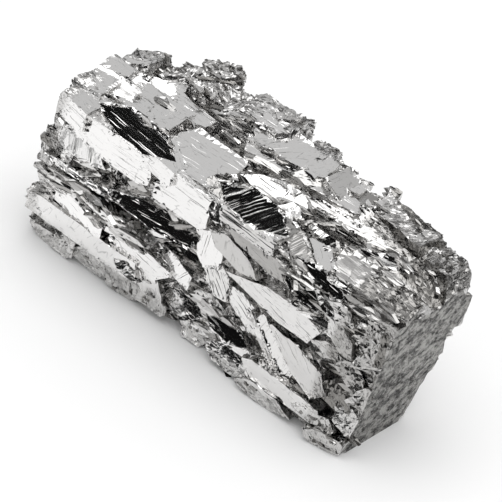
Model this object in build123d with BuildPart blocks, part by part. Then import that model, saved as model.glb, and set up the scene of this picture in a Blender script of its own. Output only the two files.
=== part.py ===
"""A slice broken from a cast bismuth ingot.

The bar was cast in an open iron mould, so the slice's right end and its floor are flat cast skin that leans
with the mould's draft. The slice was broken off across the bar. Bismuth is brittle and cleaves along its
crystals, so the top, the left end and both breaks are a cluster of long flat blades that grew in from the
ends and meet along a seam near the middle.

X runs across the bar from the left end to the right one, Y along the bar, and Z up. The origin is the
middle of the floor that the slice rests on. Lengths are millimetres and angles are degrees.
"""

from build123d import *
import os
from math import hypot, radians, tan
from typing import NamedTuple

# The cast bar
ingot_width = 102.0  # from end to end, level with the top
ingot_height = 39.0  # from the mould floor to the top
slice_thickness = 31.0  # along the bar, from the front break to the back break at the right end
right_draft = 5.0  # lean of the right mould wall
left_draft = 1.5  # lean of the left end
right_floor_radius = 1.5  # round where the floor meets the right wall
left_floor_radius = 5.0  # and the left end

# The crystals
crystal_relief = 6.0  # how far the tallest blades stand above their face
crystal_root = 9.0  # how deep a blade reaches below its own facet
core_inset = 2.5  # core's depth below the top

# Stations of the core: along the width, then the front break and the back break across the thickness
station_shares = [
    (0.00, 0.10, 0.90),
    (0.08, 0.10, 1.04),
    (0.18, 0.10, 1.28),
    (0.32, 0.10, 1.40),
    (0.44, 0.17, 1.30),
    (0.56, 0.11, 1.18),
    (0.70, 0.09, 1.14),
    (0.86, 0.08, 1.10),
    (1.00, 0.06, 0.86),
]

# Outlines of a facet, along and across the blade, as shares of its length and breadth
leaf_shares = [(-0.5, 0.1), (-0.2, 0.5), (0.25, 0.42), (0.5, -0.12), (0.18, -0.5), (-0.28, -0.4)]
slab_shares = [(-0.5, 0.3), (-0.42, 0.5), (0.46, 0.44), (0.5, -0.36), (0.38, -0.5), (-0.46, -0.46)]
wedge_shares = [(-0.5, -0.2), (-0.1, 0.34), (0.28, 0.5), (0.5, 0.2), (0.44, -0.42), (0.1, -0.5)]


class Blade(NamedTuple):
    """One crystal blade, by the facet that it shows."""

    outline_shares: list
    along_share: float  # facet's middle, of the face's length
    across_share: float  # of the face's breadth, from its front or lower edge
    rise_share: float  # height above the face, of the crystal relief
    length_share: float  # of the face's length
    breadth_share: float  # of the face's breadth
    heading: float  # turn of the blade in the face
    roll: float  # lean about the blade's own length
    pitch: float  # lean along the blade


class Face(NamedTuple):
    """One side of the slice, as a plane at its lower left corner and its two sizes."""

    plane: Plane
    length: float
    breadth: float


# Facets that the break laid bare, where nothing stands in front of them
top_cleaves = [
    Blade(leaf_shares, 0.205, 0.25, -0.40, 0.24, 0.27, 0, 46, 16),
    Blade(leaf_shares, 0.545, 0.28, -0.42, 0.21, 0.27, 0, 47, 14),
    Blade(leaf_shares, 0.695, 0.38, -0.12, 0.14, 0.09, 4, 46, 10),
    Blade(leaf_shares, 0.800, 0.07, -0.45, 0.17, 0.13, -3, 48, 10),
    Blade(leaf_shares, 0.660, 0.66, -0.05, 0.16, 0.11, 8, 42, 8),
    Blade(leaf_shares, 0.860, 0.56, 0.00, 0.12, 0.10, 22, 44, 10),
]

front_cleaves = [
    Blade(leaf_shares, 0.100, 0.74, -0.20, 0.19, 0.13, 0, -27, -6),
    Blade(wedge_shares, 0.320, 0.64, -0.10, 0.29, 0.14, 3, -38, 12),
    Blade(leaf_shares, 0.140, 0.585, 0.00, 0.25, 0.05, 2, -38, 6),
    Blade(leaf_shares, 0.175, 0.45, 0.16, 0.06, 0.06, -12, -40, 10),
    Blade(leaf_shares, 0.320, 0.225, 0.10, 0.08, 0.07, -4, -40, 8),
    Blade(leaf_shares, 0.455, 0.19, -0.60, 0.12, 0.20, 0, -34, 4),
    Blade(leaf_shares, 0.605, 0.27, -0.05, 0.13, 0.11, -4, -40, 8),
    Blade(leaf_shares, 0.630, 0.09, -0.15, 0.15, 0.15, 2, -30, 4),
    Blade(leaf_shares, 0.760, 0.79, -0.20, 0.13, 0.09, -6, -36, 6),
]

back_cleaves = [
    # Lower corner at the right wall
    Blade(slab_shares, 0.080, 0.10, -0.35, 0.26, 0.50, 0, 22, -14),
]

top_blades = [
    # Left half, grown in from the left end
    Blade(slab_shares, 0.175, 0.52, 0.10, 0.16, 0.40, 0, 2, -2),
    Blade(slab_shares, 0.225, 0.72, 0.05, 0.13, 0.28, 0, -7, 2),
    Blade(slab_shares, 0.365, 0.33, 0.00, 0.18, 0.50, 6, 5, 0),
    Blade(leaf_shares, 0.060, 0.66, 0.10, 0.15, 0.15, 6, 24, 6),
    Blade(slab_shares, 0.065, 0.43, 0.15, 0.14, 0.20, 0, 20, 2),
    Blade(slab_shares, 0.050, 0.20, -0.15, 0.13, 0.22, 0, 17, -4),
    Blade(slab_shares, 0.080, 0.92, -0.10, 0.17, 0.28, 8, 12, -8),
    Blade(leaf_shares, 0.035, 0.76, 0.15, 0.08, 0.16, 20, 24, -12),
    Blade(wedge_shares, 0.110, 0.80, -0.05, 0.10, 0.12, 0, 34, 4),
    Blade(leaf_shares, 0.460, 0.20, -0.05, 0.08, 0.20, 20, 18, 0),
    # Back ridge
    Blade(leaf_shares, 0.180, 1.24, 0.60, 0.11, 0.22, 20, 4, -6),
    Blade(leaf_shares, 0.200, 1.02, 0.05, 0.15, 0.22, -6, -20, 4),
    Blade(slab_shares, 0.360, 1.14, 0.50, 0.13, 0.36, 8, 0, 2),
    Blade(leaf_shares, 0.385, 1.20, 0.62, 0.06, 0.16, 30, 6, -8),
    Blade(slab_shares, 0.290, 1.00, 0.30, 0.07, 0.26, 20, 8, -16),
    Blade(leaf_shares, 0.165, 1.06, 0.22, 0.10, 0.20, 14, 32, -4),
    Blade(wedge_shares, 0.225, 1.12, 0.28, 0.08, 0.20, -10, 28, 8),
    Blade(leaf_shares, 0.330, 0.94, 0.10, 0.12, 0.18, 6, 30, 6),
    Blade(leaf_shares, 0.390, 0.97, 0.12, 0.09, 0.16, -8, 26, -6),
    Blade(slab_shares, 0.470, 0.98, 0.28, 0.21, 0.34, 6, 0, 0),
    Blade(slab_shares, 0.580, 1.06, 0.15, 0.15, 0.22, 4, -4, 2),
    Blade(slab_shares, 0.680, 1.02, 0.00, 0.16, 0.24, 8, 6, -4),
    # Crumbled corner at the back of the right wall
    Blade(leaf_shares, 0.780, 1.05, -0.10, 0.12, 0.20, 14, -10, 10),
    Blade(leaf_shares, 0.850, 1.05, 0.00, 0.10, 0.18, -12, 12, -10),
    Blade(leaf_shares, 0.930, 0.90, -0.10, 0.10, 0.18, 10, 20, 12),
    Blade(leaf_shares, 0.745, 0.95, 0.05, 0.07, 0.12, 24, 36, -8),
    Blade(wedge_shares, 0.800, 0.92, 0.00, 0.07, 0.12, -20, -14, 10),
    Blade(leaf_shares, 0.835, 0.98, 0.12, 0.07, 0.13, 40, 40, 6),
    Blade(wedge_shares, 0.875, 0.90, 0.05, 0.07, 0.13, 10, 22, -16),
    Blade(leaf_shares, 0.920, 0.87, 0.02, 0.07, 0.12, -34, 44, 8),
    Blade(leaf_shares, 0.955, 0.78, -0.10, 0.07, 0.14, 24, 12, 18),
    Blade(wedge_shares, 0.970, 0.70, -0.05, 0.06, 0.13, -10, 30, 14),
    Blade(leaf_shares, 0.895, 0.98, 0.12, 0.06, 0.12, 30, -20, -10),
    # Right half, grown in from the right wall
    Blade(slab_shares, 0.460, 0.77, 0.05, 0.15, 0.11, 4, 12, 0),
    Blade(leaf_shares, 0.555, 0.82, 0.15, 0.09, 0.14, 36, 24, 0),
    Blade(wedge_shares, 0.515, 0.47, 0.05, 0.17, 0.22, 24, 24, 10),
    Blade(slab_shares, 0.630, 0.54, 0.10, 0.14, 0.13, 2, 25, 8),
    Blade(leaf_shares, 0.765, 0.65, 0.20, 0.25, 0.12, 20, 24, 10),
    Blade(slab_shares, 0.670, 0.23, -0.20, 0.21, 0.16, -37, 10, 8),
    Blade(slab_shares, 0.740, 0.24, -0.10, 0.13, 0.13, -40, 20, 4),
    Blade(slab_shares, 0.885, 0.26, -0.05, 0.23, 0.26, -2, 13, 0),
    Blade(slab_shares, 0.640, 0.86, 0.05, 0.15, 0.16, 6, 6, 0),
    Blade(slab_shares, 0.930, 0.58, -0.10, 0.13, 0.24, 10, 12, 14),
    Blade(slab_shares, 0.780, 0.84, 0.00, 0.15, 0.20, 12, 30, 6),
    Blade(leaf_shares, 0.900, 0.78, 0.00, 0.13, 0.18, -8, 8, -14),
]

front_blades = [
    # Left half
    Blade(slab_shares, 0.195, 0.88, -0.10, 0.23, 0.20, 0, -6, 0),
    Blade(slab_shares, 0.060, 0.93, -0.10, 0.11, 0.14, 0, -10, -14),
    Blade(slab_shares, 0.320, 0.95, -0.10, 0.10, 0.10, -4, -14, -6),
    Blade(slab_shares, 0.405, 0.87, -0.15, 0.15, 0.23, -2, -8, 4),
    Blade(leaf_shares, 0.265, 0.75, -0.35, 0.16, 0.12, 0, -24, 4),
    Blade(leaf_shares, 0.200, 0.47, 0.15, 0.31, 0.13, -8, 0, 0),
    Blade(slab_shares, 0.145, 0.38, 0.00, 0.18, 0.13, -4, -16, -8),
    Blade(slab_shares, 0.340, 0.36, 0.05, 0.18, 0.14, -8, -4, -2),
    Blade(slab_shares, 0.430, 0.40, -0.10, 0.13, 0.15, -6, -12, -18),
    Blade(slab_shares, 0.170, 0.25, 0.20, 0.37, 0.15, 0, 4, 0),
    Blade(slab_shares, 0.085, 0.10, -0.20, 0.15, 0.20, 2, -8, -5),
    Blade(wedge_shares, 0.200, 0.10, -0.20, 0.15, 0.20, 2, 6, 4),
    Blade(leaf_shares, 0.300, 0.09, -0.25, 0.14, 0.19, -2, -6, 6),
    Blade(leaf_shares, 0.025, 0.62, -0.15, 0.07, 0.16, 70, -10, -20),
    Blade(wedge_shares, 0.030, 0.42, -0.10, 0.07, 0.16, 80, 6, -24),
    Blade(slab_shares, 0.385, 0.16, -0.10, 0.10, 0.22, 0, 3, 2),
    Blade(leaf_shares, 0.510, 0.10, -0.55, 0.10, 0.22, 12, -22, 10),
    # Right half
    Blade(slab_shares, 0.585, 0.95, -0.10, 0.16, 0.11, -2, -12, 0),
    Blade(slab_shares, 0.500, 0.92, -0.15, 0.05, 0.10, -10, -28, 4),
    Blade(leaf_shares, 0.635, 0.86, -0.05, 0.25, 0.10, -5, -17, -6),
    Blade(leaf_shares, 0.570, 0.76, 0.00, 0.16, 0.13, -8, -4, -4),
    Blade(wedge_shares, 0.700, 0.65, 0.10, 0.26, 0.18, -6, -2, 2),
    Blade(leaf_shares, 0.500, 0.66, -0.25, 0.10, 0.22, -24, -8, -8),
    Blade(leaf_shares, 0.540, 0.52, -0.20, 0.11, 0.16, -30, -14, -12),
    Blade(wedge_shares, 0.800, 0.42, 0.15, 0.20, 0.20, -30, 2, 0),
    Blade(slab_shares, 0.735, 0.38, 0.05, 0.16, 0.07, -44, -26, 8),
    Blade(slab_shares, 0.700, 0.36, 0.00, 0.15, 0.06, -46, 4, 4),
    Blade(leaf_shares, 0.640, 0.46, -0.05, 0.16, 0.13, -18, -10, -8),
    Blade(leaf_shares, 0.560, 0.36, 0.00, 0.11, 0.12, -16, 0, 0),
    Blade(leaf_shares, 0.660, 0.19, 0.00, 0.13, 0.12, -8, -8, 6),
    Blade(slab_shares, 0.790, 0.17, 0.26, 0.22, 0.13, -2, 5, 0),
    Blade(leaf_shares, 0.740, 0.06, 0.30, 0.18, 0.12, 0, 6, 0),
    # Crumbled corner at the front of the right wall
    Blade(leaf_shares, 0.850, 0.84, -0.05, 0.12, 0.12, -10, -18, 6),
    Blade(leaf_shares, 0.880, 0.70, 0.00, 0.11, 0.12, -22, -4, -10),
    Blade(wedge_shares, 0.860, 0.59, 0.00, 0.10, 0.10, -6, 8, 6),
    Blade(leaf_shares, 0.940, 0.82, -0.15, 0.08, 0.16, -40, -20, 16),
    Blade(wedge_shares, 0.960, 0.66, -0.12, 0.08, 0.14, 20, -4, 26),
    Blade(leaf_shares, 0.930, 0.52, -0.06, 0.10, 0.12, -30, -16, 10),
    Blade(wedge_shares, 0.965, 0.40, -0.15, 0.07, 0.16, 10, 6, 24),
    Blade(leaf_shares, 0.905, 0.33, -0.02, 0.10, 0.13, -16, -12, 8),
    Blade(leaf_shares, 0.955, 0.22, -0.12, 0.09, 0.14, -24, -24, 18),
    Blade(wedge_shares, 0.880, 0.15, 0.26, 0.12, 0.11, -8, 4, 4),
    Blade(leaf_shares, 0.930, 0.06, 0.30, 0.12, 0.12, 0, 6, 12),
]

# Leans of the small blades that fill in between, taken in turn
filler_leans = [(12, 4), (-8, 6), (24, -6), (4, -10), (-16, 2), (32, 8), (18, -4)]
top_filler_rise_share = -0.75
side_filler_rise_share = -0.1
filler_overlap_share = 1.5  # a filler's size, of the cell that it fills
side_cell_share = 0.8  # length of a cell, of the side that it lies on
top_filler_rows = 5
side_filler_rows = 4


def facet_plane(face, blade):
    """The plane of a blade's facet, placed on a side of the slice and leaned as the crystal is."""
    along = blade.along_share * face.length
    across = blade.across_share * face.breadth
    rise = blade.rise_share * crystal_relief
    lean = Rotation(0, 0, blade.heading) * Rotation(blade.roll, 0, 0) * Rotation(0, blade.pitch, 0)
    return Plane(face.plane.location * Location((along, across, rise)) * lean)


def facet_points(face, blade):
    """Corners of a blade's facet in its own plane."""
    length = blade.length_share * face.length
    breadth = blade.breadth_share * face.breadth
    return [(x * length, y * breadth) for x, y in blade.outline_shares]


def filler(turn, along_share, across_share, rise_share, length_share, breadth_share):
    """A small blade at a place on a face, with the leans and outlines taken in turn."""
    roll, pitch = filler_leans[turn % len(filler_leans)]
    outline_shares = (leaf_shares, slab_shares, wedge_shares)[turn % 3]
    return Blade(
        outline_shares,
        along_share,
        across_share,
        rise_share,
        length_share * filler_overlap_share,
        breadth_share * filler_overlap_share,
        pitch,
        roll,
        -pitch,
    )


def top_fillers():
    """Small blades in rows from the front break to the back one, between each pair of stations."""
    blades = []
    for column, (first, last) in enumerate(zip(station_shares, station_shares[1:])):
        along_share = (first[0] + last[0]) / 2
        front_share = (first[1] + last[1]) / 2
        back_share = (first[2] + last[2]) / 2
        cell_share = (back_share - front_share) / top_filler_rows
        for row in range(top_filler_rows):
            across_share = front_share + (row + 0.5) * cell_share
            length_share = last[0] - first[0]
            turn = 3 * column + row
            place = (along_share, across_share, top_filler_rise_share)
            blades.append(filler(turn, *place, length_share, cell_share))
    return blades


def side_face(start, end):
    """The upright side of the core between two points of its plan, with the core on its left."""
    length = hypot(end[0] - start[0], end[1] - start[1])
    direction = (end[0] - start[0], end[1] - start[1], 0)
    outward = (end[1] - start[1], start[0] - end[0], 0)
    return Face(Plane((*start, 0), x_dir=direction, z_dir=outward), length, ingot_height)


def side_fillers(turn):
    """Small blades up one side of the core."""
    cell_share = 1 / side_filler_rows
    blades = []
    for row in range(side_filler_rows):
        across_share = (row + 0.5) * cell_share
        place = (0.5, across_share, side_filler_rise_share)
        blades.append(filler(turn + 2 * row, *place, side_cell_share, cell_share))
    return blades


def plan_point(along_share, across_share):
    """A point of the plan, from shares of the width and the thickness."""
    return ((along_share - 0.5) * ingot_width, (across_share - 0.5) * slice_thickness)


left_corner = plan_point(0, 0)
top_face = Face(Plane((*left_corner, ingot_height)), ingot_width, slice_thickness)
front_face = Face(Plane((*left_corner, 0), z_dir=(0, -1, 0), x_dir=(1, 0, 0)), ingot_width, ingot_height)

right_corner = plan_point(1, station_shares[-1][2])
back_face = Face(Plane((*right_corner, 0), z_dir=(0, 1, 0), x_dir=(-1, 0, 0)), ingot_width, ingot_height)

front_points = [plan_point(along, front) for along, front, back in station_shares]
back_points = [plan_point(along, back) for along, front, back in reversed(station_shares)]
core_points = front_points + back_points

cleaved_blades = [(top_face, blade) for blade in top_cleaves]
cleaved_blades += [(front_face, blade) for blade in front_cleaves]
cleaved_blades += [(back_face, blade) for blade in back_cleaves]

top_placed = [(top_face, blade) for blade in top_cleaves + top_blades + top_fillers()]
front_placed = [(front_face, blade) for blade in front_cleaves + front_blades]
back_placed = [(back_face, blade) for blade in back_cleaves]
for turn, (start, end) in enumerate(zip(back_points, back_points[1:])):
    back_placed += [(side_face(start, end), blade) for blade in side_fillers(turn)]
left_face = side_face(back_points[-1], front_points[0])
left_placed = [(left_face, blade) for blade in side_fillers(0)]

# Which way the blades of each side root in the core
rooted_blades = [
    ((0, 0, -1), top_placed),
    ((0, 1, 0), front_placed),
    ((0, -1, 0), back_placed),
    ((1, 0, 0), left_placed),
]

cast_height = ingot_height + crystal_relief
cast_length = 2 * (slice_thickness + crystal_relief)
right_foot = ingot_width / 2 - ingot_height * tan(radians(right_draft))
left_foot = -ingot_width / 2 + ingot_height * tan(radians(left_draft))
right_rim = right_foot + cast_height * tan(radians(right_draft))
left_rim = left_foot - cast_height * tan(radians(left_draft))

with BuildPart() as cluster:
    # Core of the slice
    with BuildSketch() as core_plan:
        with BuildLine():
            Polyline(core_points, close=True)
        make_face()
    extrude(amount=ingot_height - core_inset)

    # Blades, each straight in from its side of the slice
    for inward, placed_blades in rooted_blades:
        for face, blade in placed_blades:
            with BuildSketch(facet_plane(face, blade)):
                Polygon(*facet_points(face, blade), align=None)
        extrude(amount=crystal_root, dir=inward)

    # Room in front of the facets that the break laid bare
    for face, blade in cleaved_blades:
        with BuildSketch(facet_plane(face, blade)):
            Polygon(*facet_points(face, blade), align=None)
    extrude(amount=crystal_root, mode=Mode.SUBTRACT)

    # The mould stopped every crystal at its walls and floor
    with BuildSketch(Plane.XZ) as mould_section:
        with BuildLine():
            Polyline(
                (left_foot, 0),
                (right_foot, 0),
                (right_rim, cast_height),
                (left_rim, cast_height),
                close=True,
            )
        make_face()
        left_floor_corner, right_floor_corner = mould_section.vertices().group_by(Axis.Y)[0].sort_by(Axis.X)
        fillet(left_floor_corner, left_floor_radius)
        fillet(right_floor_corner, right_floor_radius)
    extrude(amount=cast_length / 2, both=True, mode=Mode.INTERSECT)

# Chips that the break left loose fall away, and the metal has no pores
with BuildPart() as ingot:
    slice_solid = cluster.solids().sort_by(SortBy.VOLUME)[-1]
    add(Solid(slice_solid.shells().sort_by(SortBy.AREA)[-1]))

ingot.part.label = "ingot"
os.makedirs("parts", exist_ok=True)
export_step(ingot.part, "parts/ingot.step")
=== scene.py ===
import math
import random

import bmesh
import bpy
from mathutils import Matrix, Vector, kdtree


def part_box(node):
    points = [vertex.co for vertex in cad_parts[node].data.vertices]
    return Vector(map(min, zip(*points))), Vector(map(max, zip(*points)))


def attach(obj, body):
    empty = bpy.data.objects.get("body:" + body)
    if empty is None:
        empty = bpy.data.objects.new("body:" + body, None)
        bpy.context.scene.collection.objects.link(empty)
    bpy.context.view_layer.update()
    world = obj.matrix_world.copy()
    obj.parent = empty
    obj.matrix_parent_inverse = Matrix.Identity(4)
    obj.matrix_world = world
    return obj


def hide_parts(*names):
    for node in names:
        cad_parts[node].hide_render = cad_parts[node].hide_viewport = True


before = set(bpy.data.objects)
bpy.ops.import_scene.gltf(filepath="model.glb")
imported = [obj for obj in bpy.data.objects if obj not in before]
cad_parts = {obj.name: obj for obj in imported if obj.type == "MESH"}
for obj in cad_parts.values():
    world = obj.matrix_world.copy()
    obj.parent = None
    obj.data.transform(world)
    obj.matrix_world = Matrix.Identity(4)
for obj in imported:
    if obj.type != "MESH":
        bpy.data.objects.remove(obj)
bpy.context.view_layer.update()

# Facets of the slice
# The slice is one piece of cast bismuth, broken from a bar. Bismuth is brittle and cleaves in flat planes, so
# each flat of the solid is the face of one crystal, with a grain along it and a brightness of its own, which
# is partly tarnish and partly painted shade and dark reflection.
MM = 0.001
same_point = 0.002 * MM
same_plane = math.radians(0.3)
relief_pitch = 1.3 * MM  # longest edge left on a facet, fine enough to carry the relief
break_pitch = 0.9 * MM  # the same on the back and the left end, which carry the plates
skin_pitch = 5.0 * MM  # the same on the flat cast skin
most_halvings = 8
rim_pitch = 0.5 * MM  # between the points that mark the facets' rims
coarse_facet_area = 26 * MM**2  # facets larger than this cleaved clean
upright_slack = 0.004  # most that the normal of an upright flat rises or falls
torn_facing = 0.85  # an upright flat that faces the front this squarely is torn metal between the blades
side_facing = 0.6  # a flat that faces a side this squarely belongs to that side
top_facing = 0.3
wall_facing = 0.97
wall_share = 0.8  # of the reach to the right, past which the right wall lies
floor_facing = -0.98
smooth_facing = 0.9  # facets this level show few cleavage lines
smooth_tone = 0.55  # highest tone of such a facet
grain_turns = (0, 0, 0, 0, 0, 0, 60, -60)  # degrees from a facet's long edge, or from level on a break
tarnish_shade_chance = 0.2  # of a small facet
often_tarnish_shade_chance = 0.5  # of a facet on the right half of the front, or on the right of the top
front_shade_start = 10 * MM  # below this the front gets less of the tarnish and painted shade
right_top_share = 0.25  # of the reach to the right, past which the top often gets tarnish and painted shade
top_shade_edge = -14 * MM  # ahead of this the top gets less of the tarnish and painted shade
# Darkening towards dull grey, partly tarnish and partly painted shade and dark reflection: heavy, on the
# front, and slight
heavy_tarnish_shade = (0.25, 0.8)
front_tarnish_shade = (0.2, 0.35)
slight_tarnish_shade = (0.0, 0.1)
crumbled_shares = [  # corners of the zones that crumbled, low and high, as shares of the slice's box
    ((0.0, 0.0, 0.0), (0.02, 0.3, 1.0)),  # front of the left end
    ((0.88, 0.0, 0.0), (1.0, 0.28, 1.0)),  # front edge of the right wall
    ((0.0, 0.0, 0.0), (0.45, 0.26, 0.12)),  # left foot of the front
    ((0.45, 0.0, 0.0), (1.0, 0.26, 0.04)),  # right foot of the front
    ((0.74, 0.55, 0.6), (1.0, 1.0, 1.0)),  # back corner of the right wall
    ((0.90, 0.42, 0.7), (1.0, 1.0, 1.0)),  # top of the right wall
    ((0.0, 0.70, 0.75), (0.32, 1.0, 1.0)),  # back ridge
    ((0.3, 0.85, 0.72), (0.76, 1.0, 1.0)),  # top of the back break
]
crumble_fade = 4 * MM  # from the edge of a zone to sound metal
facet_seed = 11

ingot_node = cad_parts["ingot"]
slice_low, slice_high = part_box("ingot")
cluster = bmesh.new()
cluster.from_mesh(ingot_node.data)
bmesh.ops.remove_doubles(cluster, verts=cluster.verts, dist=same_point)
bmesh.ops.dissolve_limit(cluster, angle_limit=same_plane, verts=cluster.verts, edges=cluster.edges)

tone_layer = cluster.faces.layers.float.new("facet_tone")
crumble_layer = cluster.faces.layers.float.new("crumble")
tarnish_shade_layer = cluster.faces.layers.float.new("tarnish_and_shade")
skin_layer = cluster.faces.layers.float.new("skin")
grain_layer = cluster.faces.layers.float_vector.new("grain")
pitch_layer = cluster.faces.layers.float.new("pitch")
facet_chance = random.Random(facet_seed)
for facet in cluster.faces:
    area = facet.calc_area()
    middle = facet.calc_center_median()
    on_break = facet.normal.y > side_facing or facet.normal.x < -side_facing
    if on_break:
        along = Vector((0, 0, 1)).cross(facet.normal).normalized()
    else:
        long_edge = max(facet.edges, key=lambda edge: edge.calc_length())
        along = (long_edge.verts[1].co - long_edge.verts[0].co).normalized()
    turn = math.radians(facet_chance.choice(grain_turns))
    facet[grain_layer] = Matrix.Rotation(turn, 3, facet.normal) @ along
    highest_tone = smooth_tone if facet.normal.z > smooth_facing else 1.0
    facet[tone_layer] = facet_chance.random() * highest_tone

    # Facets on the right of the front and of the top, and some small facets, are darkened: partly tarnish,
    # partly painted shade and dark reflection.
    on_front = facet.normal.y < -side_facing and middle.x > 0 and middle.z > front_shade_start
    on_right_top = facet.normal.z > top_facing and middle.x > right_top_share * slice_high.x
    if on_front or (on_right_top and middle.y > top_shade_edge):
        chance = often_tarnish_shade_chance
    elif area < coarse_facet_area:
        chance = tarnish_shade_chance
    else:
        chance = 0.0
    if facet_chance.random() < chance:
        tarnish_shade_range = heavy_tarnish_shade
    elif on_front:
        tarnish_shade_range = front_tarnish_shade
    else:
        tarnish_shade_range = slight_tarnish_shade
    facet[tarnish_shade_layer] = facet_chance.uniform(*tarnish_shade_range)

    is_torn = abs(facet.normal.z) < upright_slack and facet.normal.y < -torn_facing
    facet[crumble_layer] = 1.0 if is_torn else max(0.0, 1.0 - area / coarse_facet_area)
    on_wall = facet.normal.x > wall_facing and middle.x > wall_share * slice_high.x
    if on_wall or facet.normal.z < floor_facing:
        facet[skin_layer] = 1.0
        facet[pitch_layer] = skin_pitch
    else:
        facet[skin_layer] = 0.0
        facet[pitch_layer] = break_pitch if on_break else relief_pitch

rim_points = []
for edge in cluster.edges:
    start, end = (vert.co for vert in edge.verts)
    steps = max(1, round(edge.calc_length() / rim_pitch))
    rim_points += [start.lerp(end, (step + 0.5) / steps) for step in range(steps)]
rim_tree = kdtree.KDTree(len(rim_points))
for number, point in enumerate(rim_points):
    rim_tree.insert(point, number)
rim_tree.balance()

bmesh.ops.triangulate(cluster, faces=cluster.faces)
cluster.verts.index_update()
points = [vert.co.copy() for vert in cluster.verts]
triangles = [tuple(vert.index for vert in face.verts) for face in cluster.faces]
owners = list(range(len(triangles)))
marks = {
    "facet_tone": [face[tone_layer] for face in cluster.faces],
    "crumble": [face[crumble_layer] for face in cluster.faces],
    "skin": [face[skin_layer] for face in cluster.faces],
    "tarnish_and_shade": [face[tarnish_shade_layer] for face in cluster.faces],
}
grain_ways = [face[grain_layer].copy() for face in cluster.faces]
pitches = [face[pitch_layer] for face in cluster.faces]
cluster.free()


def halves(a, b, c):
    """Split one triangle at its halved edges, the longest first."""
    halved = [side for side in ((a, b, c), (b, c, a), (c, a, b)) if frozenset(side[:2]) in middles]
    if not halved:
        return [(a, b, c)]
    start, end, far = max(halved, key=lambda side: (points[side[0]] - points[side[1]]).length)
    middle = middles[frozenset((start, end))]
    return halves(start, middle, far) + halves(middle, end, far)


for halving in range(most_halvings):
    middles = {}
    for (a, b, c), owner in zip(triangles, owners):
        for start, end in ((a, b), (b, c), (c, a)):
            edge = frozenset((start, end))
            if edge not in middles and (points[start] - points[end]).length > pitches[owner]:
                middles[edge] = len(points)
                points.append((points[start] + points[end]) / 2)
    split = [(piece, owner) for triangle, owner in zip(triangles, owners) for piece in halves(*triangle)]
    triangles = [piece for piece, owner in split]
    owners = [owner for piece, owner in split]

slice_size = slice_high - slice_low
zones = [
    [Vector(share * size for share, size in zip(shares, slice_size)) + slice_low for shares in corners]
    for corners in crumbled_shares
]
zone_weights = []
for point in points:
    weight = 0.0
    for low, high in zones:
        ways_out = [max(low[axis] - point[axis], 0.0, point[axis] - high[axis]) for axis in range(3)]
        weight = max(weight, 1.0 - Vector(ways_out).length / crumble_fade)
    zone_weights.append(weight)

facet_mesh = bpy.data.meshes.new("facets")
facet_mesh.from_pydata(points, [], triangles)
for name, values in marks.items():
    mark = facet_mesh.attributes.new(name, "FLOAT", "FACE")
    mark.data.foreach_set("value", [values[owner] for owner in owners])
mark = facet_mesh.attributes.new("zone", "FLOAT", "POINT")
mark.data.foreach_set("value", zone_weights)
mark = facet_mesh.attributes.new("grain", "FLOAT_VECTOR", "FACE")
mark.data.foreach_set("vector", [part for owner in owners for part in grain_ways[owner]])
mark = facet_mesh.attributes.new("rim_mm", "FLOAT", "POINT")
mark.data.foreach_set("value", [rim_tree.find(point)[2] / MM for point in points])

# Cleaved bismuth
# Bare metal, split along its cleavage: silver with a faint warm cast and mirror-bright on a clean plane, with
# fine cleavage lines along the grain, and small plates and flakes that tilt the reflection where it crumbled.
clean_silver = "#f4f3f2"
# the grey towards which tarnish, painted shade and dark reflection, and the crumbled zones darken the silver
darkened_silver = "#8e8c89"
rag_size = 1.8  # mm along a facet's ragged rim
rag_depth = 4.0  # mm, from the noise's darkest to its lightest
rim_band = (rag_depth / 2 - 0.2, rag_depth / 2 + 0.25)  # mm, where the crumbling of a rim dies out
rim_most = 0.8  # crumbling at a facet's rim
zone_band = (0.75, 1.25)  # weight of a zone plus noise, where its crumbling sets in
zone_most = 0.9  # crumbling inside a zone
zone_dimming = 0.4
bend_size = 3.0  # mm between bends of a cleavage line
bend_depth = 0.5  # mm
facet_spread = 83.0  # mm between the patterns of the lowest tone and the highest, so that none crosses a rim
plate_width = 1.7  # mm, across the grain
plate_stretch = 0.3  # scale along the grain, of the scale across it
plate_onset = 0.1  # crumbling at which plates start to tilt more
plate_tilts = (0.05, 0.75)  # on a clean plane and on a crumbled one
flake_width = 0.5  # mm
flake_stretch = 0.12
flake_limits = (0.99, 0.6)  # share of flakes that lie nearly flat, on a clean plane and on a crumbled one
flake_tilts = (0.03, 0.9)
line_width = 0.4  # mm between cleavage lines, drawn coarse enough to show in the render
line_stretch = 0.03
line_tones = (0.55, 0.75)  # tones between which a facet goes from few lines to many
line_starts = (0.60, 0.51)  # noise at which a line begins, where they are few and where they are many
line_full = 0.70  # noise at which a line is at its steepest
line_sides = (0.45, 0.55)  # noise between which a line turns from one side to the other
line_tilt = 0.6
crack_width = 0.05  # of a plate's width, to either side
crack_patches = (0.5, 0.6)  # noise between which cracks come in
painted_crack_shades = (0.6, 0.1)  # painted shade of the deepest cracks, on sound metal and in a crumbled zone
haze_noise = (0.3, 0.7)
haze_range = (0.05, 0.17)  # roughness of a clean plane
crumble_dulling = 0.17  # roughness that crumbling adds
centre = (0.5, 0.5, 0.5)  # of a random colour, taken off to leave a lean to any side


def add_node(tree, kind, inputs=(), **settings):
    """Add a node with its settings, and link or set its inputs."""
    new = tree.nodes.new(kind)
    for name, value in settings.items():
        setattr(new, name, value)
    for socket, value in dict(inputs).items():
        if isinstance(value, bpy.types.NodeSocket):
            tree.links.new(value, new.inputs[socket])
        else:
            new.inputs[socket].default_value = value
    return new


def srgb(code):
    """Linear colour of an sRGB hex value."""
    parts = [int(code[i : i + 2], 16) / 255 for i in (1, 3, 5)]
    return [c / 12.92 if c <= 0.04045 else ((c + 0.055) / 1.055) ** 2.4 for c in parts] + [1.0]


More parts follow.
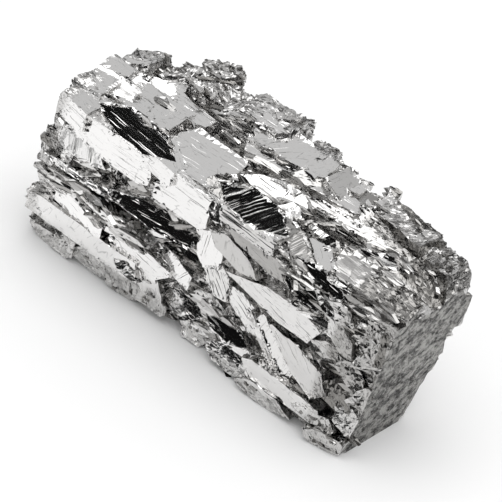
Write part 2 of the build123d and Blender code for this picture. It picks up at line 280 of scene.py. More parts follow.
cleaved = bpy.data.materials.new("cleaved_bismuth")
cleaved.use_nodes = True
tree = cleaved.node_tree
tree.nodes.clear()
place = add_node(tree, "ShaderNodeTexCoord").outputs["Object"]
place_mm = add_node(tree, "ShaderNodeVectorMath", {0: place, "Scale": 1 / MM}, operation="SCALE").outputs[0]
flat = add_node(tree, "ShaderNodeNewGeometry").outputs["True Normal"]
grain = add_node(tree, "ShaderNodeAttribute", attribute_name="grain").outputs["Vector"]
tone = add_node(tree, "ShaderNodeAttribute", attribute_name="facet_tone").outputs["Fac"]
rim = add_node(tree, "ShaderNodeAttribute", attribute_name="rim_mm").outputs["Fac"]
torn = add_node(tree, "ShaderNodeAttribute", attribute_name="crumble").outputs["Fac"]
zone = add_node(tree, "ShaderNodeAttribute", attribute_name="zone").outputs["Fac"]
# tarnish and painted shade of each facet
tarnish_and_shade = add_node(tree, "ShaderNodeAttribute", attribute_name="tarnish_and_shade").outputs["Fac"]

rag = add_node(
    tree,
    "ShaderNodeTexNoise",
    {"Vector": place_mm, "Scale": 1 / rag_size, "Detail": 4.0, "Roughness": 0.65},
).outputs["Fac"]
ragged_rim = add_node(
    tree, "ShaderNodeMath", {0: rag, 1: rag_depth, 2: rim}, operation="MULTIPLY_ADD"
).outputs[0]
rim_crumble = add_node(
    tree,
    "ShaderNodeMapRange",
    {
        "Value": ragged_rim,
        "From Min": rim_band[0],
        "From Max": rim_band[1],
        "To Min": rim_most,
        "To Max": 0.0,
    },
).outputs[0]
facet_crumble = add_node(tree, "ShaderNodeMath", {0: torn, 1: rim_crumble}, operation="MAXIMUM").outputs[0]
ragged_zone = add_node(tree, "ShaderNodeMath", {0: rag, 1: zone}, operation="ADD").outputs[0]
zone_crumble = add_node(
    tree,
    "ShaderNodeMapRange",
    {"Value": ragged_zone, "From Min": zone_band[0], "From Max": zone_band[1], "To Max": zone_most},
).outputs[0]
crumble = add_node(
    tree, "ShaderNodeMath", {0: facet_crumble, 1: zone_crumble}, operation="MAXIMUM"
).outputs[0]
# Crumbled zones, and the tarnish and painted shade, darken the silver towards dull grey.
dimmed = add_node(
    tree, "ShaderNodeMath", {0: zone_crumble, 1: zone_dimming, 2: tarnish_and_shade}, operation="MULTIPLY_ADD"
).outputs[0]

cross = add_node(tree, "ShaderNodeVectorMath", {0: flat, 1: grain}, operation="CROSS_PRODUCT").outputs[0]
bends = add_node(
    tree, "ShaderNodeTexNoise", {"Vector": place_mm, "Scale": 1 / bend_size, "Detail": 0.0}
).outputs["Color"]
bent = add_node(
    tree, "ShaderNodeVectorMath", {0: bends, 1: [bend_depth] * 3, 2: place_mm}, operation="MULTIPLY_ADD"
).outputs[0]
along_mm = add_node(
    tree, "ShaderNodeVectorMath", {0: bent, 1: grain}, operation="DOT_PRODUCT"
).outputs["Value"]
across_mm = add_node(
    tree, "ShaderNodeVectorMath", {0: bent, 1: cross}, operation="DOT_PRODUCT"
).outputs["Value"]
level_mm = add_node(tree, "ShaderNodeMath", {0: tone, 1: facet_spread}, operation="MULTIPLY").outputs[0]
grained = add_node(tree, "ShaderNodeCombineXYZ", {0: along_mm, 1: across_mm, 2: level_mm}).outputs[0]

plate_place = add_node(
    tree, "ShaderNodeVectorMath", {0: grained, 1: (plate_stretch, 1.0, 1.0)}, operation="MULTIPLY"
).outputs[0]
plates = add_node(tree, "ShaderNodeTexVoronoi", {"Vector": plate_place, "Scale": 1 / plate_width})
plate_side = add_node(
    tree, "ShaderNodeVectorMath", {0: plates.outputs["Color"], 1: centre}, operation="SUBTRACT"
).outputs[0]
plate_tilt = add_node(
    tree,
    "ShaderNodeMapRange",
    {"Value": crumble, "From Min": plate_onset, "To Min": plate_tilts[0], "To Max": plate_tilts[1]},
).outputs[0]
plate_lean = add_node(
    tree, "ShaderNodeVectorMath", {0: plate_side, "Scale": plate_tilt}, operation="SCALE"
).outputs[0]

flake_place = add_node(
    tree, "ShaderNodeVectorMath", {0: grained, 1: (flake_stretch, 1.0, 1.0)}, operation="MULTIPLY"
).outputs[0]
flakes = add_node(
    tree, "ShaderNodeTexVoronoi", {"Vector": flake_place, "Scale": 1 / flake_width}, distance="MANHATTAN"
)
flake_side = add_node(
    tree, "ShaderNodeVectorMath", {0: flakes.outputs["Color"], 1: centre}, operation="SUBTRACT"
).outputs[0]
flake_chance = add_node(
    tree, "ShaderNodeSeparateColor", {"Color": flakes.outputs["Color"]}
).outputs["Green"]
flake_limit = add_node(
    tree, "ShaderNodeMapRange", {"Value": crumble, "To Min": flake_limits[0], "To Max": flake_limits[1]}
).outputs[0]
flake_tilt = add_node(
    tree,
    "ShaderNodeMapRange",
    {"Value": flake_chance, "From Min": flake_limit, "To Min": flake_tilts[0], "To Max": flake_tilts[1]},
).outputs[0]
flake_lean = add_node(
    tree, "ShaderNodeVectorMath", {0: flake_side, "Scale": flake_tilt}, operation="SCALE"
).outputs[0]

line_place = add_node(
    tree, "ShaderNodeVectorMath", {0: grained, 1: (line_stretch, 1.0, 1.0)}, operation="MULTIPLY"
).outputs[0]
lines = add_node(
    tree,
    "ShaderNodeTexNoise",
    {"Vector": line_place, "Scale": 1 / line_width, "Detail": 2.0, "Roughness": 0.6},
).outputs["Color"]
line_parts = add_node(tree, "ShaderNodeSeparateColor", {"Color": lines}).outputs
line_start = add_node(
    tree,
    "ShaderNodeMapRange",
    {
        "Value": tone,
        "From Min": line_tones[0],
        "From Max": line_tones[1],
        "To Min": line_starts[0],
        "To Max": line_starts[1],
    },
).outputs[0]
line_edge = add_node(
    tree,
    "ShaderNodeMapRange",
    {"Value": line_parts["Red"], "From Min": line_start, "From Max": line_full},
).outputs[0]
line_side = add_node(
    tree,
    "ShaderNodeMapRange",
    {
        "Value": line_parts["Green"],
        "From Min": line_sides[0],
        "From Max": line_sides[1],
        "To Min": -line_tilt,
        "To Max": line_tilt,
    },
).outputs[0]
line_slope = add_node(tree, "ShaderNodeMath", {0: line_edge, 1: line_side}, operation="MULTIPLY").outputs[0]
line_lean = add_node(
    tree, "ShaderNodeVectorMath", {0: cross, "Scale": line_slope}, operation="SCALE"
).outputs[0]

leaned = add_node(tree, "ShaderNodeVectorMath", {0: flat, 1: plate_lean}, operation="ADD").outputs[0]
flaked = add_node(tree, "ShaderNodeVectorMath", {0: leaned, 1: flake_lean}, operation="ADD").outputs[0]
lined = add_node(tree, "ShaderNodeVectorMath", {0: flaked, 1: line_lean}, operation="ADD").outputs[0]
facing = add_node(tree, "ShaderNodeVectorMath", {0: lined}, operation="NORMALIZE").outputs[0]

silver = add_node(  # sockets 6 and 7 take the two colours of a colour mix, and output 2 gives the mix
    tree,
    "ShaderNodeMix",
    {"Factor": dimmed, 6: srgb(clean_silver), 7: srgb(darkened_silver)},
    data_type="RGBA",
).outputs[2]
# Painted shade in the cracks: the colour darkens along the edges of the plates, most in patches and in the
# crumbled zones.
cracks = add_node(
    tree,
    "ShaderNodeTexVoronoi",
    {"Vector": plate_place, "Scale": 1 / plate_width},
    feature="DISTANCE_TO_EDGE",
).outputs["Distance"]
deepest_crack = add_node(
    tree, "ShaderNodeMapRange", {"Value": zone_crumble, "To Min": painted_crack_shades[0], "To Max": painted_crack_shades[1]}
).outputs[0]
crack_depth = add_node(
    tree,
    "ShaderNodeMapRange",
    {
        "Value": rag,
        "From Min": crack_patches[0],
        "From Max": crack_patches[1],
        "To Min": 1.0,
        "To Max": deepest_crack,
    },
).outputs[0]
painted_crack_shade = add_node(
    tree,
    "ShaderNodeMapRange",
    {"Value": cracks, "From Max": crack_width, "To Min": crack_depth, "To Max": 1.0},
).outputs[0]
crack_shaded = add_node(
    tree, "ShaderNodeVectorMath", {0: silver, "Scale": painted_crack_shade}, operation="SCALE"
).outputs[0]
haze = add_node(
    tree,
    "ShaderNodeMapRange",
    {
        "Value": line_parts["Blue"],
        "From Min": haze_noise[0],
        "From Max": haze_noise[1],
        "To Min": haze_range[0],
        "To Max": haze_range[1],
    },
).outputs[0]
dulled = add_node(
    tree, "ShaderNodeMath", {0: crumble, 1: crumble_dulling, 2: haze}, operation="MULTIPLY_ADD"
).outputs[0]
shine = add_node(
    tree,
    "ShaderNodeBsdfPrincipled",
    {"Base Color": crack_shaded, "Metallic": 1.0, "Roughness": dulled, "Normal": facing},
).outputs[0]
add_node(tree, "ShaderNodeOutputMaterial", {"Surface": shine})

# Cast skin
# The floor and the right end froze against the mould: a dull grey oxide skin on the same metal, finely
# pitted, in pale and dark blotches that are drawn out a little from front to back.
dark_oxide = "#353433"
pale_oxide = "#abaaa7"
skin_roughness = 0.5
blotch_size = 2.4  # mm
blotch_band = (0.455, 0.545)  # noise of the darkest and of the palest blotches
blotch_turn = 0.7  # radians about X, which turns the noise's own grid away from the wall's edges
blotch_stretch = 0.8  # scale from front to back, of the scale across it
pit_size = 0.45  # mm
pit_tilt = 0.7

skin = bpy.data.materials.new("cast_skin")
skin.use_nodes = True
tree = skin.node_tree
tree.nodes.clear()
place = add_node(tree, "ShaderNodeTexCoord").outputs["Object"]
place_mm = add_node(tree, "ShaderNodeVectorMath", {0: place, "Scale": 1 / MM}, operation="SCALE").outputs[0]
blotch_place = add_node(
    tree,
    "ShaderNodeMapping",
    {"Vector": place_mm, "Rotation": (blotch_turn, 0.0, 0.0), "Scale": (1.0, blotch_stretch, 1.0)},
).outputs[0]
blotches = add_node(
    tree,
    "ShaderNodeTexNoise",
    {"Vector": blotch_place, "Scale": 1 / blotch_size, "Detail": 8.0, "Roughness": 0.85},
).outputs["Fac"]
flat = add_node(tree, "ShaderNodeNewGeometry").outputs["True Normal"]
pits = add_node(tree, "ShaderNodeTexVoronoi", {"Vector": place_mm, "Scale": 1 / pit_size})
pit_side = add_node(
    tree, "ShaderNodeVectorMath", {0: pits.outputs["Color"], 1: centre}, operation="SUBTRACT"
).outputs[0]
pit_lean = add_node(
    tree, "ShaderNodeVectorMath", {0: pit_side, "Scale": pit_tilt}, operation="SCALE"
).outputs[0]
pitted = add_node(tree, "ShaderNodeVectorMath", {0: flat, 1: pit_lean}, operation="ADD").outputs[0]
facing = add_node(tree, "ShaderNodeVectorMath", {0: pitted}, operation="NORMALIZE").outputs[0]
paleness = add_node(
    tree,
    "ShaderNodeMapRange",
    {"Value": blotches, "From Min": blotch_band[0], "From Max": blotch_band[1]},
).outputs[0]
oxide = add_node(
    tree,
    "ShaderNodeMix",
    {"Factor": paleness, 6: srgb(dark_oxide), 7: srgb(pale_oxide)},
    data_type="RGBA",
).outputs[2]
dull = add_node(
    tree,
    "ShaderNodeBsdfPrincipled",
    {"Base Color": oxide, "Metallic": 1.0, "Roughness": skin_roughness, "Normal": facing},
).outputs[0]
add_node(tree, "ShaderNodeOutputMaterial", {"Surface": dull})

# Crumbled crystal
# Between the clean planes the same metal broke up: edges chipped ragged, small facets lost grains about a
# millimetre across, the back and left end broke in tilted plates, and splinters and shards stayed behind.
edge_waver = 0.55 * MM
waver_reach = 3.0 * MM
waver_shares = (1.8, 2.8)  # of the edge waver, on a clean facet and on a crumbled one
skin_waver_share = 0.1
grain_relief = 0.7 * MM
grain_size = 1.5 * MM
grain_level = 0.35  # distance from a lost grain's middle, in grains, that lies level with the facet
grain_power = 1.5  # of the crumbling, so that the sounder facets keep more of their grains
plate_size = (11.0 * MM, 8.0 * MM, 4.5 * MM)
plate_depth = 4.5 * MM
plate_slant = math.radians(12)
plate_step = 0.3  # most step between two plates, as a share of the plate depth
break_facing = (0.5, 0.8)  # how squarely a flat faces back or left where plates set in and are full
patches_per_metre = 130.0  # of splinters
patch_band = (0.48, 0.60)  # noise where a patch sets in and is full
wall_margin = 4.0 * MM  # kept free of splinters and shards at either end
torn_level = 0.995  # crumbling past which a flat counts as torn, and carries shards
splinter_length = 2.0 * MM
splinter_width = 0.8 * MM
splinter_spacing = 1.7 * MM
splinter_tilt = 0.25
shard_length = 8.0 * MM
shard_width = 2.2 * MM
shard_spacing = 2.0 * MM
shard_tilt = 0.3
prism_sides = 6
prism_height = 0.8  # of its width
least_growth = (0.35, 0.35, 0.3)  # length, width and height of the smallest piece, in shares
most_growth = (1.3, 1.1, 0.8)
piece_way = (1.0, 0.0, 0.0)  # pieces lie along the slice, and so does their grain
# Each splinter and shard gets a random tone, crumbling and rim, and a random share of the tarnish and painted
# shade.
piece_looks = [  # mark of a splinter or shard, what it is stored on, least and most
    ("facet_tone", "FACE", 0.0, 1.0),
    ("crumble", "FACE", 0.1, 0.5),
    ("tarnish_and_shade", "FACE", 0.0, 0.9),
    ("rim_mm", "POINT", 0.5, 0.5),
]
size_seed_step = 10.0
look_seed_step = 20.0
crystal_seed = 3

crystal_inputs = [  # name, kind of socket and value
    ("Edge waver", "NodeSocketFloat", edge_waver),
    ("Waver reach", "NodeSocketFloat", waver_reach),
    ("Grain relief", "NodeSocketFloat", grain_relief),
    ("Grain size", "NodeSocketFloat", grain_size),
    ("Plate size", "NodeSocketVector", plate_size),
    ("Plate depth", "NodeSocketFloat", plate_depth),
    ("Splinter length", "NodeSocketFloat", splinter_length),
    ("Splinter width", "NodeSocketFloat", splinter_width),
    ("Splinters per square metre", "NodeSocketFloat", 1 / splinter_spacing**2),
    ("Shard length", "NodeSocketFloat", shard_length),
    ("Shard width", "NodeSocketFloat", shard_width),
    ("Shards per square metre", "NodeSocketFloat", 1 / shard_spacing**2),
    ("Seed", "NodeSocketInt", crystal_seed),
]
relief = bpy.data.node_groups.new("crumbled_crystal", "GeometryNodeTree")
relief.interface.new_socket("Geometry", in_out="INPUT", socket_type="NodeSocketGeometry")
identifiers = {}
for name, kind, value in crystal_inputs:
    identifiers[name] = relief.interface.new_socket(name, in_out="INPUT", socket_type=kind).identifier
relief.interface.new_socket("Geometry", in_out="OUTPUT", socket_type="NodeSocketGeometry")
given = add_node(relief, "NodeGroupInput").outputs

position = add_node(relief, "GeometryNodeInputPosition").outputs[0]
facing = add_node(relief, "GeometryNodeInputNormal").outputs[0]
crumble = add_node(
    relief, "GeometryNodeInputNamedAttribute", {"Name": "crumble"}, data_type="FLOAT"
).outputs[0]
zone = add_node(relief, "GeometryNodeInputNamedAttribute", {"Name": "zone"}, data_type="FLOAT").outputs[0]
on_skin = add_node(relief, "GeometryNodeInputNamedAttribute", {"Name": "skin"}, data_type="FLOAT").outputs[0]
bare = add_node(relief, "ShaderNodeMath", {0: 1.0, 1: on_skin}, operation="SUBTRACT").outputs[0]

# Rims waver. A clean facet stays flat, so there the waver keeps to the facet's plane.
waver_scale = add_node(
    relief, "ShaderNodeMath", {0: 1.0, 1: given["Waver reach"]}, operation="DIVIDE"
).outputs[0]
waver = add_node(
    relief, "ShaderNodeTexNoise", {"Vector": position, "Scale": waver_scale, "Detail": 1.0, "Roughness": 0.5}
).outputs["Color"]
waver_side = add_node(relief, "ShaderNodeVectorMath", {0: waver, 1: centre}, operation="SUBTRACT").outputs[0]
loosest = add_node(relief, "ShaderNodeMath", {0: crumble, 1: zone}, operation="MAXIMUM").outputs[0]
loosened = add_node(
    relief, "ShaderNodeMapRange", {"Value": loosest, "To Min": waver_shares[0], "To Max": waver_shares[1]}
).outputs[0]
firm = add_node(
    relief, "ShaderNodeMapRange", {"Value": on_skin, "To Min": 1.0, "To Max": skin_waver_share}
).outputs[0]
waver_share = add_node(relief, "ShaderNodeMath", {0: loosened, 1: firm}, operation="MULTIPLY").outputs[0]
waver_amount = add_node(
    relief, "ShaderNodeMath", {0: waver_share, 1: given["Edge waver"]}, operation="MULTIPLY"
).outputs[0]
waver_lift = add_node(
    relief, "ShaderNodeVectorMath", {0: waver_side, 1: facing}, operation="DOT_PRODUCT"
).outputs["Value"]
held_share = add_node(
    relief, "ShaderNodeMapRange", {"Value": loosest, "To Min": -1.0, "To Max": 0.0}
).outputs[0]
held_lift = add_node(
    relief, "ShaderNodeMath", {0: waver_lift, 1: held_share}, operation="MULTIPLY"
).outputs[0]
held = add_node(relief, "ShaderNodeVectorMath", {0: facing, "Scale": held_lift}, operation="SCALE").outputs[0]
waver_slide = add_node(relief, "ShaderNodeVectorMath", {0: waver_side, 1: held}, operation="ADD").outputs[0]
waver_shift = add_node(
    relief, "ShaderNodeVectorMath", {0: waver_slide, "Scale": waver_amount}, operation="SCALE"
).outputs[0]

# Grains that broke out of the crumbled facets left hollows.
grain_scale = add_node(
    relief, "ShaderNodeMath", {0: 1.0, 1: given["Grain size"]}, operation="DIVIDE"
).outputs[0]
grains = add_node(
    relief, "ShaderNodeTexVoronoi", {"Vector": position, "Scale": grain_scale}, distance="CHEBYCHEV"
).outputs["Distance"]
grain_height = add_node(
    relief, "ShaderNodeMath", {0: grains, 1: grain_level}, operation="SUBTRACT"
).outputs[0]
loose = add_node(relief, "ShaderNodeMath", {0: crumble, 1: grain_power}, operation="POWER").outputs[0]
loose_bare = add_node(relief, "ShaderNodeMath", {0: loose, 1: bare}, operation="MULTIPLY").outputs[0]
grain_share = add_node(
    relief, "ShaderNodeMath", {0: grain_height, 1: loose_bare}, operation="MULTIPLY"
).outputs[0]
grain_rise = add_node(
    relief, "ShaderNodeMath", {0: grain_share, 1: given["Grain relief"]}, operation="MULTIPLY"
).outputs[0]
grain_shift = add_node(
    relief, "ShaderNodeVectorMath", {0: facing, "Scale": grain_rise}, operation="SCALE"
).outputs[0]

# Plates lean out of the back and the left end.
ways = add_node(relief, "ShaderNodeSeparateXYZ", {0: facing}).outputs
backward = add_node(
    relief,
    "ShaderNodeMapRange",
    {"Value": ways["Y"], "From Min": break_facing[0], "From Max": break_facing[1]},
).outputs[0]
leftward = add_node(
    relief,
    "ShaderNodeMapRange",
    {"Value": ways["X"], "From Min": -break_facing[0], "From Max": -break_facing[1]},
).outputs[0]
broken = add_node(relief, "ShaderNodeMath", {0: backward, 1: leftward}, operation="MAXIMUM").outputs[0]
plate_spin = add_node(
    relief, "ShaderNodeVectorRotate", {"Vector": position, "Axis": (0.0, 1.0, 0.0), "Angle": plate_slant}
).outputs[0]
plate_place = add_node(
    relief, "ShaderNodeVectorMath", {0: plate_spin, 1: given["Plate size"]}, operation="DIVIDE"
).outputs[0]
plates = add_node(
    relief, "ShaderNodeTexVoronoi", {"Vector": plate_place, "Scale": 1.0}, distance="MANHATTAN"
).outputs
plate_arm = add_node(
    relief, "ShaderNodeVectorMath", {0: plate_place, 1: plates["Position"]}, operation="SUBTRACT"
).outputs[0]
plate_side = add_node(
    relief, "ShaderNodeVectorMath", {0: plates["Color"], 1: centre}, operation="SUBTRACT"
).outputs[0]
plate_slope = add_node(
    relief, "ShaderNodeVectorMath", {0: plate_arm, 1: plate_side}, operation="DOT_PRODUCT"
).outputs["Value"]
plate_chance = add_node(relief, "ShaderNodeSeparateXYZ", {0: plate_side}).outputs["X"]
plate_height = add_node(
    relief, "ShaderNodeMath", {0: plate_chance, 1: plate_step, 2: plate_slope}, operation="MULTIPLY_ADD"
).outputs[0]
plate_share = add_node(
    relief, "ShaderNodeMath", {0: plate_height, 1: broken}, operation="MULTIPLY"
).outputs[0]
plate_bare = add_node(relief, "ShaderNodeMath", {0: plate_share, 1: bare}, operation="MULTIPLY").outputs[0]
plate_rise = add_node(
    relief, "ShaderNodeMath", {0: plate_bare, 1: given["Plate depth"]}, operation="MULTIPLY"
).outputs[0]
plate_shift = add_node(
    relief, "ShaderNodeVectorMath", {0: facing, "Scale": plate_rise}, operation="SCALE"
).outputs[0]

roughened = add_node(
    relief, "ShaderNodeVectorMath", {0: grain_shift, 1: plate_shift}, operation="ADD"
).outputs[0]
shift = add_node(relief, "ShaderNodeVectorMath", {0: roughened, 1: waver_shift}, operation="ADD").outputs[0]
worn = add_node(
    relief, "GeometryNodeSetPosition", {"Geometry": given["Geometry"], "Offset": shift}
).outputs[0]
whole = add_node(relief, "GeometryNodeJoinGeometry", {0: worn})

# Splinters lie in patches on the crumbled facets and zones, and shards on the torn flats.
patch_noise = add_node(
    relief, "ShaderNodeTexNoise", {"Vector": position, "Scale": patches_per_metre, "Detail": 2.0}
).outputs["Fac"]
patch = add_node(
    relief,
    "ShaderNodeMapRange",
    {"Value": patch_noise, "From Min": patch_band[0], "From Max": patch_band[1]},
).outputs[0]
place_x = add_node(relief, "ShaderNodeSeparateXYZ", {0: position}).outputs["X"]
off_wall = add_node(
    relief, "FunctionNodeCompare", {0: place_x, 1: slice_high.x - wall_margin}, operation="LESS_THAN"
).outputs[0]
off_end = add_node(
    relief, "FunctionNodeCompare", {0: place_x, 1: slice_low.x + wall_margin}, operation="GREATER_THAN"
).outputs[0]
between = add_node(relief, "ShaderNodeMath", {0: off_wall, 1: off_end}, operation="MULTIPLY").outputs[0]
clear = add_node(relief, "ShaderNodeMath", {0: between, 1: bare}, operation="MULTIPLY").outputs[0]
loose_zone = add_node(relief, "ShaderNodeMath", {0: zone, 1: clear}, operation="MULTIPLY").outputs[0]
loose_clear = add_node(relief, "ShaderNodeMath", {0: loose_bare, 1: clear}, operation="MULTIPLY").outputs[0]
loose_patch = add_node(relief, "ShaderNodeMath", {0: patch, 1: loose_clear}, operation="MULTIPLY").outputs[0]
zone_patch = add_node(relief, "ShaderNodeMath", {0: patch, 1: loose_zone}, operation="MULTIPLY").outputs[0]
splinter_share = add_node(
    relief, "ShaderNodeMath", {0: loose_patch, 1: zone_patch}, operation="MAXIMUM"
).outputs[0]
torn = add_node(
    relief, "FunctionNodeCompare", {0: crumble, 1: torn_level}, operation="GREATER_THAN"
).outputs[0]
shard_share = add_node(relief, "ShaderNodeMath", {0: torn, 1: clear}, operation="MULTIPLY").outputs[0]
piece_kinds = [("Splinter", splinter_share, splinter_tilt), ("Shard", shard_share, shard_tilt)]
for number, (kind, share, tilt) in enumerate(piece_kinds):
    seed = add_node(
        relief, "ShaderNodeMath", {0: given["Seed"], 1: float(number)}, operation="ADD"
    ).outputs[0]
    size_seed = add_node(relief, "ShaderNodeMath", {0: seed, 1: size_seed_step}, operation="ADD").outputs[0]
    look_seed = add_node(relief, "ShaderNodeMath", {0: seed, 1: look_seed_step}, operation="ADD").outputs[0]
    density = add_node(
        relief, "ShaderNodeMath", {0: share, 1: given[f"{kind}s per square metre"]}, operation="MULTIPLY"
    ).outputs[0]
    seats = add_node(
        relief, "GeometryNodeDistributePointsOnFaces", {"Mesh": worn, "Density": density, "Seed": seed}
    ).outputs
    jitter = add_node(
        relief,
        "FunctionNodeRandomValue",
        {0: [-tilt] * 3, 1: [tilt] * 3, "Seed": seed},
        data_type="FLOAT_VECTOR",
    ).outputs[0]
    leaning = add_node(
        relief, "ShaderNodeVectorMath", {0: seats["Normal"], 1: jitter}, operation="ADD"
    ).outputs[0]
    lie = add_node(
        relief,
        "FunctionNodeAxesToRotation",
        {"Primary Axis": leaning, "Secondary Axis": piece_way},
        primary_axis="Z",
        secondary_axis="X",
    ).outputs[0]
    prism = add_node(
        relief, "GeometryNodeMeshCylinder", {"Vertices": prism_sides, "Radius": 0.5, "Depth": prism_height}
    ).outputs["Mesh"]
    size = add_node(
        relief,
        "ShaderNodeCombineXYZ",
        {0: given[f"{kind} length"], 1: given[f"{kind} width"], 2: given[f"{kind} width"]},
    ).outputs[0]
    sized = add_node(relief, "GeometryNodeTransform", {"Geometry": prism, "Scale": size}).outputs[0]
    growth = add_node(
        relief,
        "FunctionNodeRandomValue",
        {0: least_growth, 1: most_growth, "Seed": size_seed},
        data_type="FLOAT_VECTOR",
    ).outputs[0]
    seated = add_node(
        relief,
        "GeometryNodeInstanceOnPoints",
        {"Points": seats["Points"], "Instance": sized, "Rotation": lie, "Scale": growth},
    ).outputs[0]
    pieces = add_node(relief, "GeometryNodeRealizeInstances", {"Geometry": seated}).outputs[0]
    island = add_node(relief, "GeometryNodeInputMeshIsland").outputs["Island Index"]
    for name, domain, least, most in piece_looks:
        look = add_node(
            relief,
            "FunctionNodeRandomValue",
            {2: least, 3: most, "ID": island, "Seed": look_seed},
            data_type="FLOAT",
        ).outputs[1]
        pieces = add_node(
            relief,
            "GeometryNodeStoreNamedAttribute",
            {"Geometry": pieces, "Name": name, "Value": look},
            data_type="FLOAT",
            domain=domain,
        ).outputs[0]
    pieces = add_node(
        relief,
        "GeometryNodeStoreNamedAttribute",
        {"Geometry": pieces, "Name": "grain", "Value": piece_way},
        data_type="FLOAT_VECTOR",
        domain="FACE",
    ).outputs[0]
    relief.links.new(pieces, whole.inputs[0])

# Nothing reaches below the floor. The bounds to the left and in front lie far outside the slice.
above_floor = add_node(
    relief, "ShaderNodeVectorMath", {0: position, 1: (-1.0, -1.0, 0.0)}, operation="MAXIMUM"
).outputs[0]
standing = add_node(
    relief, "GeometryNodeSetPosition", {"Geometry": whole.outputs[0], "Position": above_floor}
).outputs[0]
realized = add_node(relief, "GeometryNodeRealizeInstances", {"Geometry": standing}).outputs[0]
bright = add_node(relief, "GeometryNodeSetMaterial", {"Geometry": realized, "Material": cleaved}).outputs[0]
is_skin = add_node(relief, "FunctionNodeCompare", {0: on_skin, 1: 0.5}, operation="GREATER_THAN").outputs[0]
finished = add_node(
    relief, "GeometryNodeSetMaterial", {"Geometry": bright, "Selection": is_skin, "Material": skin}
).outputs[0]
add_node(relief, "NodeGroupOutput", {"Geometry": finished})

blank = bpy.data.objects.new("ingot_blank", facet_mesh)
bpy.context.scene.collection.objects.link(blank)
crumbling = blank.modifiers.new("crumbled crystal", "NODES")
crumbling.node_group = relief
for name, kind, value in crystal_inputs:
    crumbling[identifiers[name]] = value
evaluated = blank.evaluated_get(bpy.context.evaluated_depsgraph_get())
ingot_mesh = bpy.data.meshes.new_from_object(evaluated)
bpy.data.objects.remove(blank)
ingot = bpy.data.objects.new("bismuth_slice", ingot_mesh)
bpy.context.scene.collection.objects.link(ingot)
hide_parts("ingot")
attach(ingot, "root")

# Floor
# A plain white table top, wide enough to fill the view, which keeps the slice's soft shadow.
table_white = "#f4f4f4"
floor_reach = 12.0
floor_corners = [(x * floor_reach, y * floor_reach, 0) for x, y in ((-1, -1), (1, -1), (1, 1), (-1, 1))]

floor_mesh = bpy.data.meshes.new("floor")
floor_mesh.from_pydata(floor_corners, [], [(0, 1, 2, 3)])
floor = bpy.data.objects.new("floor", floor_mesh)
bpy.context.scene.collection.objects.link(floor)
table = bpy.data.materials.new("white_table")
table.use_nodes = True
table.node_tree.nodes.clear()
paint = add_node(table.node_tree, "ShaderNodeBsdfDiffuse", {"Color": srgb(table_white)}).outputs[0]
add_node(table.node_tree, "ShaderNodeOutputMaterial", {"Surface": paint})
floor_mesh.materials.append(table)

# Studio boards
# Curved boards stand round the slice for its crystals to mirror: a black flag on the camera's side, a grey
# board on the left, and behind, pale boards above dark ones. They show in reflections and throw no shadow.
board_distance = 0.45
board_steps = 12
boards = [  # bearing from the front and width in degrees, foot and top in metres, grey
    (39, 134, 0.01, 0.75, 0.006),
    (-70, 50, 0.01, 0.75, 0.35),
    (150, 90, 0.01, 0.17, 0.03),
    (150, 90, 0.17, 0.75, 0.6),
    (-150, 110, 0.01, 0.15, 0.03),
    (-150, 110, 0.15, 0.75, 0.6),
]

for number, (bearing, width, foot, top, grey) in enumerate(boards):
    ring = []
    for step in range(board_steps + 1):
        angle = math.radians(bearing - width / 2 + width * step / board_steps)
        ring.append((board_distance * math.sin(angle), -board_distance * math.cos(angle)))
    board_corners = [(x, y, z) for x, y in ring for z in (foot, top)]
    board_sides = [(2 * i, 2 * i + 2, 2 * i + 3, 2 * i + 1) for i in range(board_steps)]
    board_mesh = bpy.data.meshes.new(f"board_{number}")
    board_mesh.from_pydata(board_corners, [], board_sides)
    board = bpy.data.objects.new(f"board_{number}", board_mesh)
    bpy.context.scene.collection.objects.link(board)
    card = bpy.data.materials.new(f"board_grey_{number}")
    card.use_nodes = True
    card.node_tree.nodes.clear()
    glow = add_node(
        card.node_tree, "ShaderNodeEmission", {"Color": (grey, grey, grey, 1.0), "Strength": 1.0}
    ).outputs[0]
    add_node(card.node_tree, "ShaderNodeOutputMaterial", {"Surface": glow})
    board_mesh.materials.append(card)
    board.visible_camera = False
    board.visible_diffuse = False
    board.visible_shadow = False

# Light
# One wide softbox hangs overhead, and a white room fills in from all round.
softbox_size = 0.8
softbox_height = 0.75
softbox_power = 2.2  # watts
room_light = 0.9  # strength of the room as a light on the floor
room_white = 1.0  # and where it is seen, straight on or in a reflection

softbox_light = bpy.data.lights.new("softbox", "AREA")
softbox_light.size = softbox_size
softbox_light.energy = softbox_power
softbox = bpy.data.objects.new("softbox", softbox_light)
softbox.location = (0.0, 0.0, softbox_height)
bpy.context.scene.collection.objects.link(softbox)

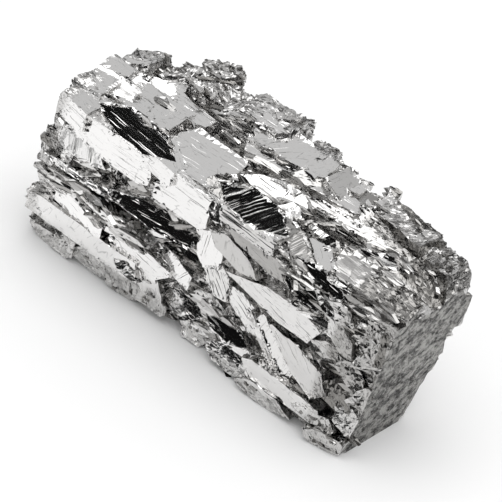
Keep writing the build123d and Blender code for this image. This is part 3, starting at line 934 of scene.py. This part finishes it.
room = bpy.data.worlds.new("white_room")
room.use_nodes = True
room.node_tree.nodes.clear()
ray = add_node(room.node_tree, "ShaderNodeLightPath").outputs
seen = add_node(
    room.node_tree, "ShaderNodeMath", {0: ray["Is Camera Ray"], 1: ray["Is Glossy Ray"]}, operation="MAXIMUM"
).outputs[0]
shown = add_node(
    room.node_tree, "ShaderNodeMath", {0: seen, 1: ray["Is Transmission Ray"]}, operation="MAXIMUM"
).outputs[0]
strength = add_node(
    room.node_tree, "ShaderNodeMapRange", {"Value": shown, "To Min": room_light, "To Max": room_white}
).outputs[0]
white = add_node(
    room.node_tree, "ShaderNodeBackground", {"Color": (1.0, 1.0, 1.0, 1.0), "Strength": strength}
).outputs[0]
add_node(room.node_tree, "ShaderNodeOutputWorld", {"Surface": white})
bpy.context.scene.world = room

# Camera
# It stands to the right of the front, looking down on the slice, and is rolled so that the slice runs down
# the frame.
view_bearing = math.radians(31)
view_height = math.radians(34)
view_roll = math.radians(16)
view_distance = 0.7
frame_pixels = 502
pixels_per_mm = 4.42
aim_height = 19.5 * MM
aim_right = 1.81 * MM
aim_up = 0.23 * MM

back = Vector(
    (
        math.sin(view_bearing) * math.cos(view_height),
        -math.cos(view_bearing) * math.cos(view_height),
        math.sin(view_height),
    )
)
level_right = Vector((math.cos(view_bearing), math.sin(view_bearing), 0.0))
level_up = back.cross(level_right)
right = math.cos(view_roll) * level_right + math.sin(view_roll) * level_up
up = math.cos(view_roll) * level_up - math.sin(view_roll) * level_right
aim = Vector((0.0, 0.0, aim_height))
spot = aim + aim_right * right + aim_up * up + view_distance * back
lens = bpy.data.cameras.new("camera")
lens.lens = lens.sensor_width * pixels_per_mm * view_distance / MM / frame_pixels
camera = bpy.data.objects.new("camera", lens)
camera.matrix_world = Matrix(
    (
        (right.x, up.x, back.x, spot.x),
        (right.y, up.y, back.y, spot.y),
        (right.z, up.z, back.z, spot.z),
        (0.0, 0.0, 0.0, 1.0),
    )
)
bpy.context.scene.collection.objects.link(camera)
bpy.context.scene.camera = camera
bpy.context.scene.view_settings.view_transform = "Standard"
